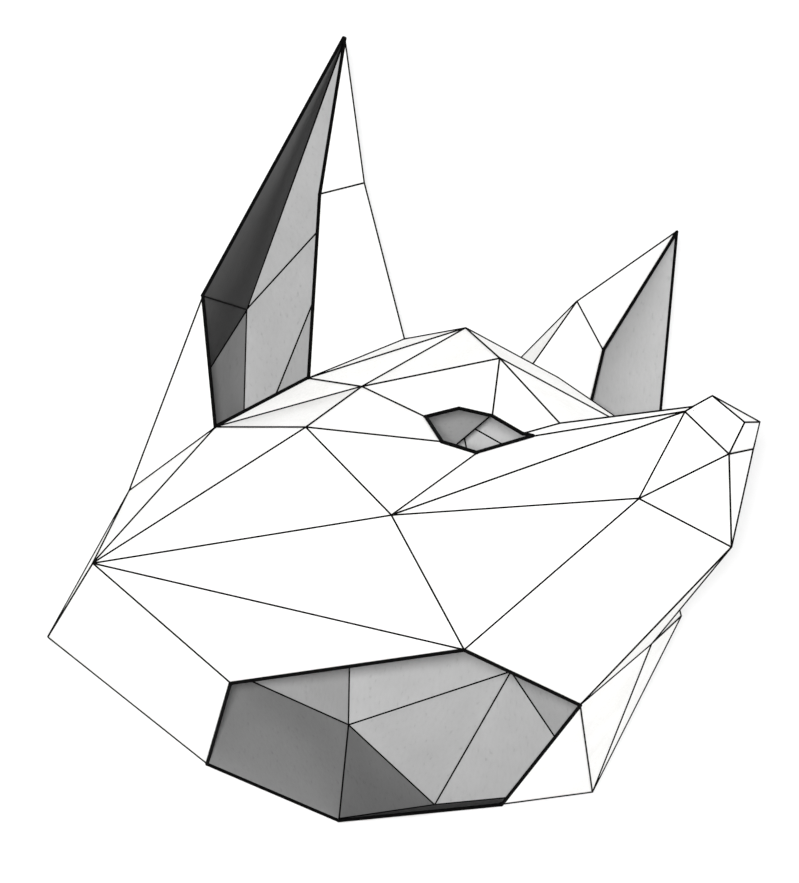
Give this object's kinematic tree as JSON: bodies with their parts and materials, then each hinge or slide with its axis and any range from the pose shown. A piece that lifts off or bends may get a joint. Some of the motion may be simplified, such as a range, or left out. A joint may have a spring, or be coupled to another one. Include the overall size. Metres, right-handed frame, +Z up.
{
  "type": "paper fox mask",
  "caption": "Hollow full-head fox mask of folded white card with flat facets, upright ears and a pointed muzzle, open at the neck, eyes and ears to be pulled on over the head.",
  "frame": {"origin": "on the surface the mask lies on, under the middle of its box", "axes": "+X to the fox's left, +Y towards the ears, +Z up and towards the nose; the mask lies on its back"},
  "size_m": [0.375, 0.4126, 0.4145],
  "materials": {
    "card": "matt white face with black printed fold lines, grey back, black edges at the openings"
  },
  "bodies": {
    "root": {"nose": "card", "nose_bridge": "card", "forehead_strip": "card", "nape_strip": "card", "chin": "card", "ear_back_right": "card", "ear_back_left": "card", "ear_inner_right": "card", "ear_inner_left": "card", "back_side_right": "card", "back_side_left": "card", "forehead_side_right": "card", "forehead_side_left": "card", "temple_right": "card", "temple_left": "card", "brow_right": "card", "brow_left": "card", "muzzle_side_right": "card", "muzzle_side_left": "card", "cheek_right": "card", "cheek_left": "card", "jaw_right": "card", "jaw_left": "card"}
  },
  "joints": []
}
